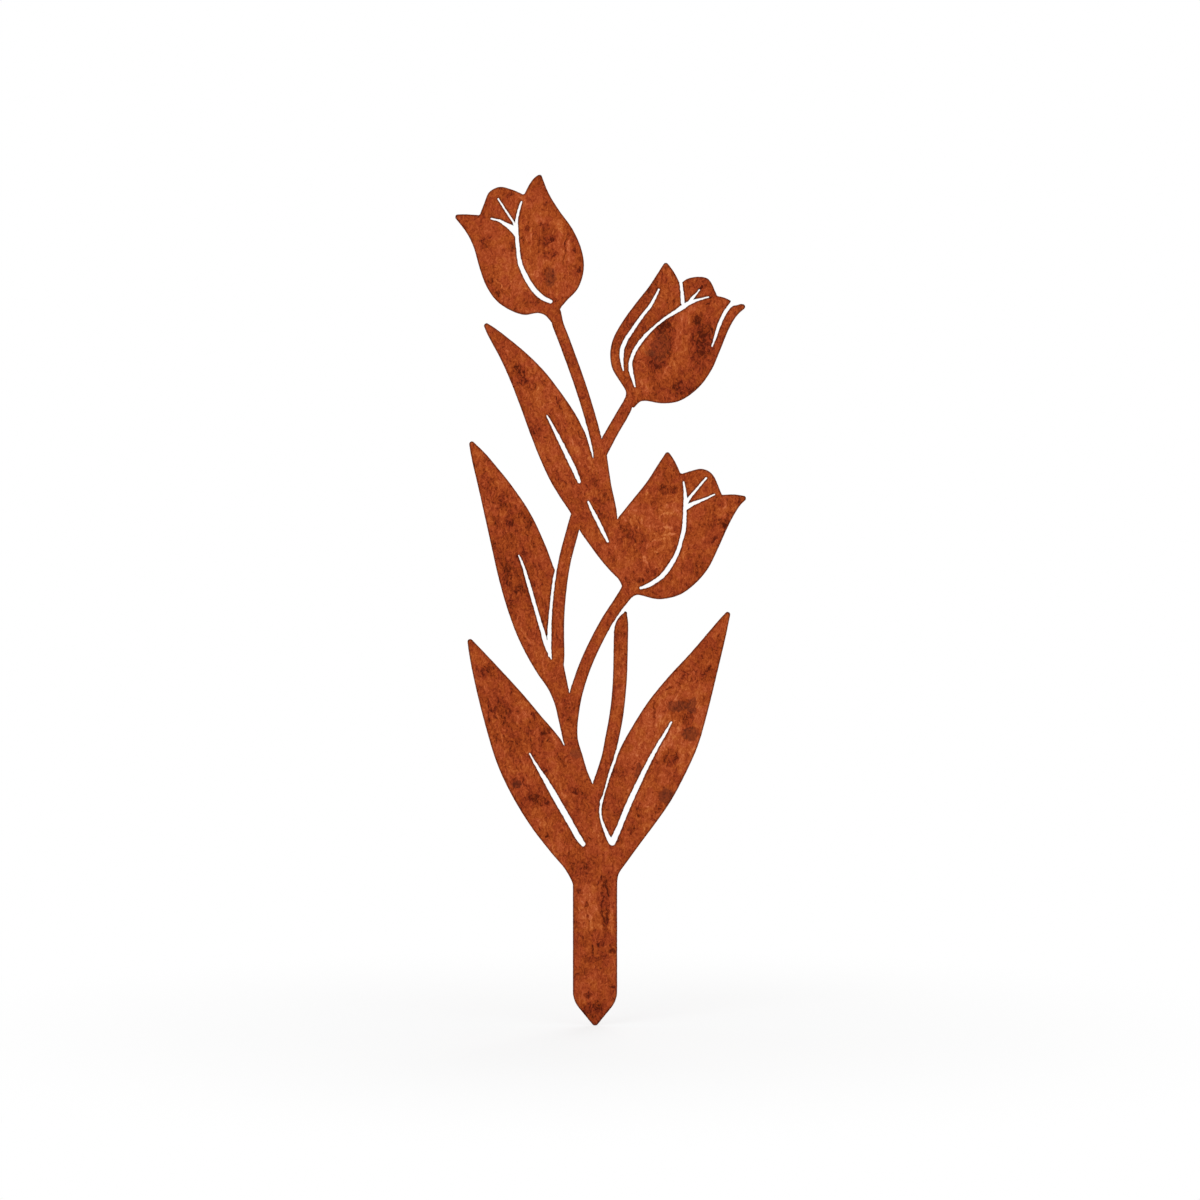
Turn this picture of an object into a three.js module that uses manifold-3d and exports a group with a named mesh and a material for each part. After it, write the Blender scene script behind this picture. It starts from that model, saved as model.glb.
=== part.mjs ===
// A garden stake cut in one piece from sheet steel that is left to rust: three tulips, four leaves
// and a blade of grass on branching stems, above a pointed spike that is pushed into the soil.
// Millimetres, +Z up. The sheet stands in the XZ plane and its front faces -Y.
// The origin is on the ground line, in the middle of the spike and of the sheet's thickness.

import * as THREE from "three";
import { mergeVertices } from "three/addons/utils/BufferGeometryUtils.js";
import Module from "manifold-3d";

// The sheet, and the radius that its tips and notches are cut with
const sheetThickness = 2;
const tipRadius = 1.7;

// Spike: its length runs from the ground line to where its slanted ends would meet
const spike = { width: 31, length: 102.5, pointHeight: 19, cornerRadius: 18, pointRadius: 2.2 };

// The low leaves part from the spike's sides between these depths below the ground line
const leafFoot = { deepest: 8, highest: 2 };

// Stems: rise and shift say how far the tip lies above and to the right of the root,
// and bow how far the stem swings out sideways on the way
const mainStem = { rise: 204.5, shift: 22.5, bow: 30, width: 8.6 };
const sharedStem = { rise: 96.5, shift: -19, bow: 4.7, width: 10.6 };
const topStem = { rise: 101, shift: -31.5, bow: 1.2, width: 7.8 };
const rightStem = { rise: 39, shift: 20.1, bow: 1, width: 8.4 };
const leftStem = { bow: 11, width: 8.7, slit: 1.7 };

// Leaves and the blade of grass: lean is in degrees, to the right of upright
const lowLeftLeaf = { length: 196.5, lean: -27.4, width: 49, veinWidth: 4.2 };
const lowRightLeaf = { length: 216.8, lean: 26.4, width: 49, veinWidth: 4.9, grassGap: 1.5 };
const midLeftLeaf = { length: 208.2, lean: -20.4, width: 39, veinWidth: 4.2 };
const topLeftLeaf = { length: 217.9, lean: -28.1, width: 36, veinWidth: 3.6 };
const grass = { length: 133.4, lean: 9.3, width: 9.7 };

// Tulip heads
const topTulip = { width: 90, height: 97, slotWidth: 4.2 };
const rightTulip = { width: 95, height: 97, slotWidth: 3.2 };
const lowTulip = { width: 90, height: 99, slotWidth: 3.4 };

// Where things branch off the main stem, as shares of its length from the ground up
const grassShare = 0.283;
const leftStemShare = 0.51;
const midLeftLeafShare = 0.558;

// How finely curves are drawn: the step of the samples, how far a facet may stray from its curve, and
// how many steps a round end or corner has
const sampleStep = 0.8;
const facetTolerance = 0.04;
const capSteps = 8;
const cutOverrun = 1;
const weldDistance = 1e-5;

// The shapes below are in percent. Stems and slots: along the length, across it in shares of the
// bow or leaf width (positive to the right of the way up), and how wide they are there.
const mainStemRoute = [
  [0, 0, 230], [11, -15.5, 295], [22.5, -36, 263], [30, -53, 220], [36, -65.5, 148], [42, -79, 121],
  [47, -92.5, 116], [51.5, -98.5, 122], [56.5, -99, 122], [64.5, -92, 103], [75.5, -74.5, 98],
  [89.5, -38.5, 96], [100, 0, 98],
];
const sharedStemRoute = [
  [0, 0, 45], [7, 2, 55], [15, -38, 70], [39, -99.5, 130], [60.5, -56.5, 124], [78.5, -38.5, 104],
  [100, 0, 90],
];
const topStemRoute = [[0, 0], [24, 115], [47, 125], [70, 50], [84, -20], [92, -65], [100, 0]];
const rightStemRoute = [[0, -50, 110], [40, 0, 99], [76, 80, 98], [90, 85, 92], [100, 0, 70]];
const leftStemRoute = [
  [0, -16, 50], [10.5, -60, 60], [24.5, -88, 81], [33.5, -93.5, 103], [48, -101.5, 100], [61.5, -96.5, 98],
  [77, -74, 98], [92, -28, 100], [103, 10, 100],
];
const leftStemEnd = [30, -12.5];
const slitRoute = [[33, 150], [41, 175], [48, 150], [55, 128], [65, 115], [75, 85]];
const grassRoute = [
  [0, 0, 100], [11, 18, 85], [20.5, 37.5, 88], [29.5, 45, 97], [40.5, 49.5, 98], [51, 44.5, 98],
  [64, 28.5, 100], [82.5, -7.5, 102], [88.5, -17, 98], [92.5, -15.5, 77], [95, -10, 47], [96.5, -5.5, 24],
];

// Leaves: both sides run from the root to the tip, in shares of the length and of the width
const lowLeftLeafShape = {
  left: [
    [8.7, -29.5], [17.5, -37.3], [29, -45.3], [42, -48.7], [54, -46.5], [68.5, -35.8], [83.5, -21.4],
    [94, -9],
  ],
  right: [[0, 10], [30.5, 42.5], [49.5, 50.6], [62, 40.6], [73, 30.7], [83.5, 19.3], [91, 10.8]],
  slots: [
    [[51.7, 1.5, 27], [47.5, 2, 46], [40.5, 4.2, 83], [32.5, 5.6, 104], [24, 7.2, 103], [16.5, 8.4, 98],
      [14, 9.7, 82]],
  ],
};
const lowRightLeafShape = {
  left: [
    [0, -10], [15, -38], [24, -43.5], [29, -45.6], [34, -48.5], [39.5, -51.7], [44, -52.7], [52.5, -50.5],
    [61, -46], [71, -35.7], [80, -23.8], [87.5, -15.2], [94.5, -7.5],
  ],
  right: [
    [5.7, 25.2], [10, 27.7], [18, 33.7], [26, 40.2], [34.5, 45.6], [44.5, 47], [54.5, 45.2], [66.5, 35.5],
    [79, 23], [91, 10.6],
  ],
  slots: [
    [[57.6, -4, 24], [54.5, -4.4, 40], [48, -6.6, 52], [41.5, -7.4, 63], [36.5, -7.3, 72], [30.5, -6.8, 78],
      [25, -5.7, 81], [19, -3.6, 81], [14, -3, 93]],
  ],
  gap: [
    [45, -56.5, 120], [40, -53, 85], [35, -50, 80], [31.5, -48.5, 90], [27, -45, 88], [23.5, -42, 95],
    [21.5, -38.7, 108], [19, -31.5, 124], [17, -22, 154], [15, -12, 210], [14, -4.5, 280],
  ],
};
const midLeftLeafShape = {
  left: [
    [-8.5, -31], [-1, -25.5], [5, -21.5], [10.5, -23], [16, -30.4], [22.5, -37], [30, -41.6], [39.5, -42],
    [50.5, -37.8], [65, -27.6], [80.5, -16], [93.5, -7],
  ],
  right: [
    [4.5, 8], [25, 27], [44, 61.8], [49.5, 62.4], [56.5, 62.4], [68.5, 57], [80, 42.2],
    [87.5, 28.8], [93, 18.2],
  ],
  slots: [
    [[56.5, 11, 25], [53.5, 12, 42], [48, 10.4, 58], [42, 8, 62], [37, 6, 62], [32.5, 4.2, 65],
      [29, 3.3, 72], [25.5, 1.4, 74], [22.5, 1, 54], [19.9, 1, 28]],
  ],
};
const topLeftLeafShape = {
  left: [
    [4, 0], [9, -9.3], [14, -15.8], [19.5, -20.7], [25, -24.6], [31, -24], [38, -27.9], [44, -29.3],
    [52, -26.4], [60.5, -20.3], [70, -12], [78.5, -5.8], [86, -2.8], [95, -2.7],
  ],
  right: [
    [18.5, 27.5], [32.5, 51], [44, 65.7], [47, 69], [51, 73.8], [58.5, 75.2], [67, 70], [75, 61.9],
    [81.5, 50.9], [87.5, 37.2], [93, 22.8], [96, 14],
  ],
  slots: [
    [[62.7, 24.8, 34], [58, 24.6, 60], [53, 24.2, 81], [48, 23.1, 90], [43.5, 22, 92], [38.9, 19.8, 68]],
    [[31.7, 16.6, 42], [28, 15.6, 70], [24.5, 15.1, 76], [20.5, 14.4, 70], [17.4, 13.7, 46]],
  ],
};

// Tulips: shares of the head's width and height, from the neck where the stem ends.
// Each line of an outline is a smooth edge, and the edges meet at the petals' tips and notches.
const topTulipShape = {
  outline: [
    [[-8, -2], [-13.5, -0.3], [-24.5, -1.6], [-35.5, 1.8], [-46, 8.5], [-54, 19], [-59.2, 32], [-64.1, 47.8],
      [-70, 58.7], [-80.4, 71]],
    [[-70, 71.2], [-59.3, 70.6]],
    [[-55.6, 79.5], [-51.8, 87.3], [-44, 91.1], [-35, 89.5], [-24.5, 85.4]],
    [[-20.4, 92.8], [-16.6, 97.6], [-11.5, 101]],
    [[-5.6, 87], [2.4, 74.7], [13.8, 59.8], [20.7, 44.5], [22.2, 32], [17.7, 17.7], [8.1, 7.9], [3.5, 1.7]],
  ],
  slots: [
    [[-26.6, 80.5, 33], [-28.8, 74, 43], [-30.4, 65.5, 50], [-30.2, 56, 66], [-29.5, 47.5, 62],
      [-27.9, 36.5, 73], [-23.2, 26, 83], [-16.1, 15.8, 88], [-9.3, 10.3, 83], [-3.9, 7.9, 68]],
    [[-50.2, 68.2, 36], [-44.4, 66.9, 46], [-38, 63.5, 72], [-33.4, 60.6, 106], [-30.5, 56, 67]],
    [[-44.9, 82.7, 30], [-39.2, 74.5, 33], [-33.5, 66.5, 34], [-31.3, 62.5, 44]],
  ],
};
const rightTulipShape = {
  outline: [
    [[-2.4, 1.5], [-1.9, 6.5], [-6.4, 14], [-11.8, 23], [-13.5, 33.5], [-11.5, 44], [-4.8, 56.4],
      [5.7, 70.7], [14.7, 81.8], [27.6, 101.1]],
    [[33.4, 93.7], [38.4, 84.4]],
    [[43.5, 88.1], [52, 89.7], [59.2, 88], [65.9, 75.7]],
    [[70.4, 74.8], [75.6, 72.5]],
    [[79.8, 68.1], [82.8, 69.8], [88.7, 69]],
    [[80.6, 61.8], [74.8, 52.5], [68.4, 37.4], [61.4, 21.7], [51.3, 8.6], [37.5, -0.5], [24.5, -2.1],
      [13, -0.3], [9, -0.8], [5.6, -3.6], [3.3, -6.7]],
  ],
  slots: [
    [[38.4, 89.5, 62], [39.8, 78.5, 74], [40.4, 70.5, 88]],
    [[59.4, 75, 38], [52.5, 73.4, 56], [45.5, 71, 88], [40, 67.6, 103], [34.5, 64.1, 82],
      [26.5, 59.1, 62], [19.3, 53.3, 60], [12.9, 47.3, 78], [7.3, 40.3, 83], [4.8, 36.3, 84],
      [1.7, 28.5, 80], [1.7, 22, 96], [3.3, 15.5, 73], [4.8, 10, 40]],
    [[52.7, 80.3, 32], [50.1, 77.1, 46], [46.4, 73.1, 78]],
    [[22.6, 80.5, 46], [20, 75.4, 60], [16.6, 69.3, 71], [11.3, 62.7, 75], [6, 55.7, 81], [2, 49.7, 85],
      [-1.6, 44.3, 91], [-4.7, 37, 96], [-5.1, 31.5, 86], [-4.6, 26, 57], [-3.8, 21.8, 26]],
    [[62.1, 39.2, 32], [64.2, 45, 56], [66.4, 52, 72], [69.4, 59.4, 80], [72.4, 64.9, 80], [76.4, 69.8, 87],
      [78.5, 74, 88]],
  ],
};
const lowTulipShape = {
  outline: [
    [[-3.9, 4.4], [-4, 7.4]],
    [[-13.5, 44]],
    [[-6.6, 53.2], [5.4, 66.8], [16.3, 79.3], [24.2, 90.6], [31.8, 101]],
    [[37.4, 93.4], [42.2, 84]],
    [[49.6, 86.2], [59, 87.8], [66.5, 84.4], [74.5, 69.2]],
    [[84, 69.6], [95.4, 68]],
    [[88.3, 61.5], [80.8, 50], [71.7, 32], [63.7, 17.2], [54.2, 6.8], [41.4, -1.7], [26, -4.9], [18.5, -4],
      [11.5, -2.2], [8, -1.9], [4.5, -3.2]],
  ],
  slots: [
    [[44.4, 78.4, 36], [45.3, 73.5, 53], [45.8, 66.5, 80], [45.5, 58.5, 78], [45.2, 52.5, 77],
      [44.8, 45.5, 89], [42.5, 37, 80], [39.6, 28.5, 86], [34, 19, 97], [27.5, 11.5, 95], [19, 6, 91],
      [14.5, 4, 78], [10.8, 3, 55]],
    [[68.7, 69.7, 28], [62, 66.9, 49], [55, 64.3, 68], [50, 62.3, 90], [45.6, 60, 110]],
    [[62.2, 81.4, 42], [55.2, 74, 49], [49.2, 67.3, 60], [46.3, 63.5, 76]],
  ],
};

const wasm = await Module();
wasm.setup();

const spot = (x, y) => new THREE.Vector2(x, y);

// Turns shares of the way from root to tip, and of a breadth to its right, into a place on the sheet
function placer(root, tip, breadth) {
  const way = tip.clone().sub(root);
  const right = spot(way.y, -way.x).setLength(breadth);
  return ([along, across]) =>
    root.clone().addScaledVector(way, along / 100).addScaledVector(right, across / 100);
}

// A smooth curve through points on the sheet
function curveThrough(points) {
  const knots = points.map(({ x, y }) => new THREE.Vector3(x, y, 0));
  return new THREE.CatmullRomCurve3(knots, false, "centripetal");
}

// A strip along a smooth route: a stem, a blade of grass, or a slot. Its ends are round.
class Strip {
  constructor(points, widths) {
    this.spine = curveThrough(points);
    this.widths = new THREE.SplineCurve(widths.map((width, i) => spot(i, width)));
  }

  static along(place, fullWidth, route) {
    return new Strip(route.map(place), route.map(([, , share = 100]) => (fullWidth * share) / 100));
  }

  centre(share) {
    const { x, y } = this.spine.getPointAt(share);
    return spot(x, y);
  }

  // The strip's left side is -1 and its right side 1, seen on the way to its tip
  side(share, side, beyond = 0) {
    const width = this.widths.getPoint(this.spine.getUtoTmapping(share)).y;
    const heading = this.spine.getTangentAt(share);
    const out = spot(heading.y, -heading.x).setLength(width / 2 + beyond);
    return this.centre(share).addScaledVector(out, side);
  }

  cap(share, side) {
    const centre = this.centre(share);
    const first = this.side(share, side).sub(centre);
    const start = first.angle();
    const arc = new THREE.ArcCurve(centre.x, centre.y, first.length(), start, start - Math.PI, true);
    return arc.getPoints(capSteps).slice(1, -1);
  }

  outline() {
    const steps = Math.ceil(this.spine.getLength() / sampleStep);
    const shares = Array.from({ length: steps + 1 }, (_, i) => i / steps);
    const left = shares.map((share) => this.side(share, -1));
    const right = shares.map((share) => this.side(share, 1)).reverse();
    return [...thinned(left), ...this.cap(1, -1), ...thinned(right), ...this.cap(0, 1)];
  }
}

// Leaves out the samples that lie within the tolerance of a straight facet
function thinned(points) {
  const first = points[0];
  const last = points.at(-1);
  const chord = last.clone().sub(first).normalize();
  const strays = points.map((point) => Math.abs(point.clone().sub(first).cross(chord)));
  const worst = strays.indexOf(Math.max(...strays));
  if (strays[worst] <= facetTolerance) {
    return [first, last];
  }
  return [...thinned(points.slice(0, worst + 1)), ...thinned(points.slice(worst)).slice(1)];
}

// Samples of a smooth edge through the given points
function smooth(points) {
  const curve = curveThrough(points);
  const samples = curve.getSpacedPoints(Math.ceil(curve.getLength() / sampleStep));
  return samples.map(({ x, y }) => spot(x, y));
}

// The stretch of a run that lies farther than a distance from its first point
function beyond(run, distance) {
  const reach = (point) => point.distanceTo(run[0]);
  const next = run.findIndex((point) => reach(point) > distance);
  const share = (distance - reach(run[next - 1])) / (reach(run[next]) - reach(run[next - 1]));
  return [run[next - 1].clone().lerp(run[next], share), ...run.slice(next)];
}

// A corner may use up this share of an edge, so that its two corners never meet
const cornerShare = 0.45;

// A closed outline of smooth edges. Each edge starts where the one before it ends, and the corner
// at its own end gets its radius, as far as the two edges are long enough.
function roundedOutline(edges, radii) {
  const runs = edges.map((edge, i) => smooth([edges.at(i - 1).at(-1), ...edge]));
  const bends = radii.map((radius, i) => {
    if (radius === 0) {
      return [];
    }
    const following = (i + 1) % runs.length;
    const corner = runs[i].at(-1);
    const inward = runs[i].toReversed();
    const onward = runs[following];
    const arrive = corner.clone().sub(beyond(inward, radius)[0]).normalize();
    const leave = beyond(onward, radius)[0].clone().sub(corner).normalize();
    const bend = Math.acos(THREE.MathUtils.clamp(arrive.dot(leave), -1, 1));
    const shorter = Math.min(inward.at(-1).distanceTo(corner), onward.at(-1).distanceTo(corner));
    const room = cornerShare * shorter;
    const trim = Math.min(radius * Math.tan(bend / 2), room);
    const before = beyond(inward, trim);
    const after = beyond(onward, trim);
    runs[i] = before.toReversed();
    runs[following] = after;
    // A cubic curve whose handles reach this far towards the corner is a round arc
    const pull = ((4 / 3) * Math.tan(bend / 4)) / Math.tan(bend / 2);
    const handles = [before[0].clone().lerp(corner, pull), after[0].clone().lerp(corner, pull)];
    return new THREE.CubicBezierCurve(before[0], ...handles, after[0]).getPoints(capSteps).slice(1);
  });
  return runs.flatMap((run, i) => [...thinned(run).slice(1), ...bends[i]]);
}

// A stem from its root to the point that its rise and shift give
function stem(root, sizes, route) {
  const tip = spot(root.x + sizes.shift, root.y + sizes.rise);
  return Strip.along(placer(root, tip, sizes.bow), sizes.width, route);
}

// A leaf or blade grows from its root by its length, in the direction of its lean
function growth(root, { length, lean, width }) {
  const angle = THREE.MathUtils.degToRad(lean);
  const tip = spot(Math.sin(angle), Math.cos(angle)).multiplyScalar(length).add(root);
  return placer(root, tip, width);
}

// A leaf's outline and its slots. Its sides may start from given points on what it grows out of.
function leaf(place, sizes, shape, { leftFoot = [], rightFoot = [] } = {}) {
  const left = [...leftFoot, ...shape.left.map(place)];
  const right = [...rightFoot, ...shape.right.map(place)];
  const tip = place([100, 0]);
  return {
    outline: roundedOutline([[...left.slice(1), tip], right.toReversed(), [left[0]]], [tipRadius, 0, 0]),
    slots: shape.slots.map((route) => Strip.along(place, sizes.veinWidth, route)),
  };
}

// A tulip head on the tip of its stem. Its outline starts and ends on the stem's two sides.
function tulip(onStem, sizes, shape) {
  const neck = onStem.centre(1);
  const place = ([x, y]) => spot(neck.x + (sizes.width * x) / 100, neck.y + (sizes.height * y) / 100);
  const edges = shape.outline.map((edge) => edge.map(place));
  const neckShare = 0.94;
  edges.at(-1).push(onStem.side(neckShare, 1));
  edges.push([onStem.side(neckShare, -1)]);
  const radii = edges.map((_, i) => (i < edges.length - 2 ? tipRadius : 0));
  return {
    outline: roundedOutline(edges, radii),
    slots: shape.slots.map((route) => Strip.along(place, sizes.slotWidth, route)),
  };
}

function spikeOutline() {
  const side = spike.width / 2;
  const cornerHeight = -spike.length + spike.pointHeight;
  const edges = [
    [spot(side, 0)],
    [spot(side, cornerHeight)],
    [spot(0, -spike.length)],
    [spot(-side, cornerHeight)],
    [spot(-side, 0)],
  ];
  return roundedOutline(edges, [0, spike.cornerRadius, spike.pointRadius, spike.cornerRadius, 0]);
}

// A solid of an outline, as thick as the sheet, or thicker by the overrun on both faces
function solid(outline, overrun = 0) {
  const depth = sheetThickness + 2 * overrun;
  const geometry = new THREE.ExtrudeGeometry(new THREE.Shape(outline), { depth, bevelEnabled: false });
  geometry.translate(0, 0, -depth / 2);
  geometry.deleteAttribute("normal");
  geometry.deleteAttribute("uv");
  const merged = mergeVertices(geometry, weldDistance);
  return new wasm.Manifold(
    new wasm.Mesh({
      numProp: 3,
      vertProperties: merged.attributes.position.array,
      triVerts: Uint32Array.from(merged.index.array),
    }),
  );
}

// The stems, from the ground up
const ground = spot(0, 0);
const mainStemStrip = stem(ground, mainStem, mainStemRoute);
const sharedStemStrip = stem(mainStemStrip.centre(1), sharedStem, sharedStemRoute);
const fork = sharedStemStrip.centre(1);
const topStemStrip = stem(fork, topStem, topStemRoute);
const rightStemStrip = stem(fork, rightStem, rightStemRoute);

// The leaves
const onSpike = (side) =>
  [leafFoot.deepest, leafFoot.highest].map((depth) => spot((side * spike.width) / 2, -depth));
const lowRightPlace = growth(ground, lowRightLeaf);
const topLeftPlace = growth(mainStemStrip.centre(1), topLeftLeaf);
const leaves = [
  leaf(growth(ground, lowLeftLeaf), lowLeftLeaf, lowLeftLeafShape, { leftFoot: onSpike(-1) }),
  leaf(lowRightPlace, lowRightLeaf, lowRightLeafShape, { rightFoot: onSpike(1) }),
  leaf(growth(mainStemStrip.centre(midLeftLeafShare), midLeftLeaf), midLeftLeaf, midLeftLeafShape),
  leaf(topLeftPlace, topLeftLeaf, topLeftLeafShape),
];

// The left stem ends in the lower edge of the top left leaf, and a slit parts it from the leaf beside it
const leftStemRoot = mainStemStrip.centre(leftStemShare);
const leftStemPlace = placer(leftStemRoot, topLeftPlace(leftStemEnd), leftStem.bow);
const leftStemStrip = Strip.along(leftStemPlace, leftStem.width, leftStemRoute);
const slitWidths = slitRoute.map(([, share]) => (leftStem.slit * share) / 100);
const slitCentres = slitRoute.map(([along], i) => leftStemStrip.side(along / 100, -1, slitWidths[i] / 2));
const slit = new Strip(slitCentres, slitWidths);

// The blade of grass grows out of the main stem's right side, with a gap between it and the leaf
const grassStrip = Strip.along(growth(mainStemStrip.side(grassShare, 1), grass), grass.width, grassRoute);
const grassGap = Strip.along(lowRightPlace, lowRightLeaf.grassGap, lowRightLeafShape.gap);

const tulips = [
  tulip(topStemStrip, topTulip, topTulipShape),
  tulip(rightStemStrip, rightTulip, rightTulipShape),
  tulip(mainStemStrip, lowTulip, lowTulipShape),
];

const strips = [mainStemStrip, sharedStemStrip, topStemStrip, rightStemStrip, leftStemStrip, grassStrip];
const outlines = [
  spikeOutline(),
  ...strips.map((strip) => strip.outline()),
  ...[...leaves, ...tulips].map((piece) => piece.outline),
];
const openings = [slit, grassGap, ...[...leaves, ...tulips].flatMap((piece) => piece.slots)];

let sheet = outlines.map((outline) => solid(outline)).reduce((whole, piece) => whole.add(piece));
for (const opening of openings) {
  sheet = sheet.subtract(solid(opening.outline(), cutOverrun));
}

const { vertProperties, triVerts } = sheet.getMesh();
const geometry = new THREE.BufferGeometry();
geometry.setAttribute("position", new THREE.BufferAttribute(vertProperties, 3));
geometry.setIndex(new THREE.BufferAttribute(triVerts, 1));
geometry.rotateX(Math.PI / 2);
geometry.computeVertexNormals();

const rustedSteel = new THREE.MeshStandardMaterial({ color: 0x8f4a22, roughness: 0.75, metalness: 0.3 });
const stake = new THREE.Mesh(geometry, rustedSteel);
stake.name = "tulip_stake";

const part = new THREE.Group();
part.add(stake);

export default part;
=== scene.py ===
import math

import bmesh
import bpy
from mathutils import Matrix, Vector, kdtree, noise


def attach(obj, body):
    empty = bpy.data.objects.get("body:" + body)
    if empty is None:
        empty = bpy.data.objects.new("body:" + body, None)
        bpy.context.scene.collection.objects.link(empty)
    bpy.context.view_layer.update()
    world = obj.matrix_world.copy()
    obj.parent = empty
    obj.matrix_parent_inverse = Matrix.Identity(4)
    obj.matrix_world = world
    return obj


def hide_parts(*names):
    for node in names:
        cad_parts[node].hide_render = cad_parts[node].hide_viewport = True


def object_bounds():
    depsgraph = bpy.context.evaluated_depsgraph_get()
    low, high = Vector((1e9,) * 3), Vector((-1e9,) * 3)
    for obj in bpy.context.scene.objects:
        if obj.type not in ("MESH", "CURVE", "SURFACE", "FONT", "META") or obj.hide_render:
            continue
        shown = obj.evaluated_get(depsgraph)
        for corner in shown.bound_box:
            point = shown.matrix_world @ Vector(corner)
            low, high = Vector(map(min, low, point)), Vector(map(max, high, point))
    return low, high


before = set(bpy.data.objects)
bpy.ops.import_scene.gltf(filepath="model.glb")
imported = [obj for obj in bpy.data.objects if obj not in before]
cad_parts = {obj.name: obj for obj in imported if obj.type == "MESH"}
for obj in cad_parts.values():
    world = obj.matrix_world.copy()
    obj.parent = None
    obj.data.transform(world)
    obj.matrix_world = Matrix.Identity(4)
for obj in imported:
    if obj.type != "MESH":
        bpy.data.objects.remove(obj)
cadLow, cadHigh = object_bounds()
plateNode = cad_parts["tulip_stake"]
millimetre = 0.001
grainRoughness = 0.6  # how strong the finer grains of a noise are beside the coarser ones


class Wire:  # one output of a node, used in sums as if it were a number or a vector
    def __init__(self, nodes, socket):
        self.nodes = nodes
        self.socket = socket

    def combine(self, operation, first, second):
        vectors = [side for side in (first, second) if isinstance(side, tuple)]
        wires = [side for side in (first, second) if isinstance(side, Wire)]
        isVector = bool(vectors) or any(wire.socket.type in ("VECTOR", "RGBA") for wire in wires)
        kind = "ShaderNodeVectorMath" if isVector else "ShaderNodeMath"
        return self.nodes.node(kind, {"operation": operation}, {0: first, 1: second})

    def __add__(self, other):
        return self.combine("ADD", self, other)

    def __radd__(self, other):
        return self.combine("ADD", other, self)

    def __sub__(self, other):
        return self.combine("SUBTRACT", self, other)

    def __rsub__(self, other):
        return self.combine("SUBTRACT", other, self)

    def __mul__(self, other):
        return self.combine("MULTIPLY", self, other)

    def __rmul__(self, other):
        return self.combine("MULTIPLY", other, self)


class Nodes:  # the nodes of one material, or of the world
    def __init__(self, owner):
        owner.use_nodes = True
        self.tree = owner.node_tree
        self.tree.nodes.clear()

    def node(self, kind, settings=None, sockets=None, output=0):
        made = self.tree.nodes.new(kind)
        for name, value in (settings or {}).items():
            if name == "stops":
                self.setStops(made.color_ramp, value)
            else:
                setattr(made, name, value)
        for name, value in (sockets or {}).items():
            if isinstance(value, Wire):
                self.tree.links.new(value.socket, made.inputs[name])
            else:
                made.inputs[name].default_value = value
        return Wire(self, made.outputs[output]) if made.outputs else made

    def setStops(self, ramp, stops):
        while len(ramp.elements) < len(stops):
            ramp.elements.new(0.5)
        for element, (position, colour) in zip(ramp.elements, stops):
            element.position = position
            element.color = colour

    def placeInMillimetres(self):
        scale = 1 / millimetre
        return self.node("ShaderNodeTexCoord", output="Object") * (scale, scale, scale)

    def grain(self, place, size, detail=0.0, output="Fac"):  # soft random values, size is in millimetres
        sockets = {"Vector": place, "Scale": 1 / size, "Detail": detail, "Roughness": grainRoughness}
        return self.node("ShaderNodeTexNoise", None, sockets, output)

    def step(self, value, start, end, low=0.0, high=1.0):  # a soft step from low to high
        sockets = {"Value": value, "From Min": start, "From Max": end, "To Min": low, "To Max": high}
        return self.node("ShaderNodeMapRange", {"interpolation_type": "SMOOTHSTEP", "clamp": False}, sockets)

    def mix(self, share, first, second):  # two colours, which are sockets 6 and 7 of the node
        return self.node("ShaderNodeMix", {"data_type": "RGBA"}, {0: share, 6: first, 7: second}, 2)

    def seenDirectly(self):  # 1 where the camera sees it, straight, in a reflection or through glass
        kinds = ("Is Camera Ray", "Is Glossy Ray", "Is Transmission Ray")
        camera, glossy, through = [self.node("ShaderNodeLightPath", output=kind) for kind in kinds]
        return 1.0 - (1.0 - camera) * (1.0 - glossy) * (1.0 - through)


def linear(red, green, blue):  # a colour as it is seen, 0 to 255, to the values that Blender counts in
    parts = [channel / 255 for channel in (red, green, blue)]
    return (*[part / 12.92 if part <= 0.04045 else ((part + 0.055) / 1.055) ** 2.4 for part in parts], 1.0)


# The camera stands square in front of the sheet, as in the photograph
view = {
    "lens": 100,  # mm
    "sensor": 36,
    "width": 0.8467,  # metres that the picture takes in at the sheet
    "middle": (0.0035, 0.199),  # x and z in the middle of the picture
    "farthest": 50,  # metres that the camera sees
}


def buildCamera():
    camera = bpy.data.objects.new("camera", bpy.data.cameras.new("camera"))
    camera.data.lens = view["lens"]
    camera.data.sensor_width = view["sensor"]
    distance = view["width"] * view["lens"] / view["sensor"]
    camera.location = (view["middle"][0], cadLow.y - distance, view["middle"][1])
    camera.rotation_euler = (math.pi / 2, 0, 0)
    camera.data.clip_end = view["farthest"]
    bpy.context.scene.collection.objects.link(camera)
    bpy.context.scene.camera = camera
    print("camera", round(distance, 3), "m in front of the sheet")


# A white studio: even light from all round, and two large soft boxes in front and one behind
studio = {
    "ambient": 0.57,
    "boxes": {  # place, size in metres and power in watts
        "keyLight": ((-1.3, -2.2, 1.7), 1.6, 23),
        "fillLight": ((1.7, -2.0, 0.7), 1.6, 13.5),
        "backLight": ((0.5, 2.3, 1.6), 1.8, 28),
    },
    "aim": (0, 0, 0.2),
    "floorSide": 8,
    "floorColour": (246, 246, 246),
    "clearFrom": 0.06,  # metres from the tip, where the floor starts to fade to white
    "clearTo": 0.55,
    "floorHold": 0.72,  # share of white near the tip
}


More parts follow.
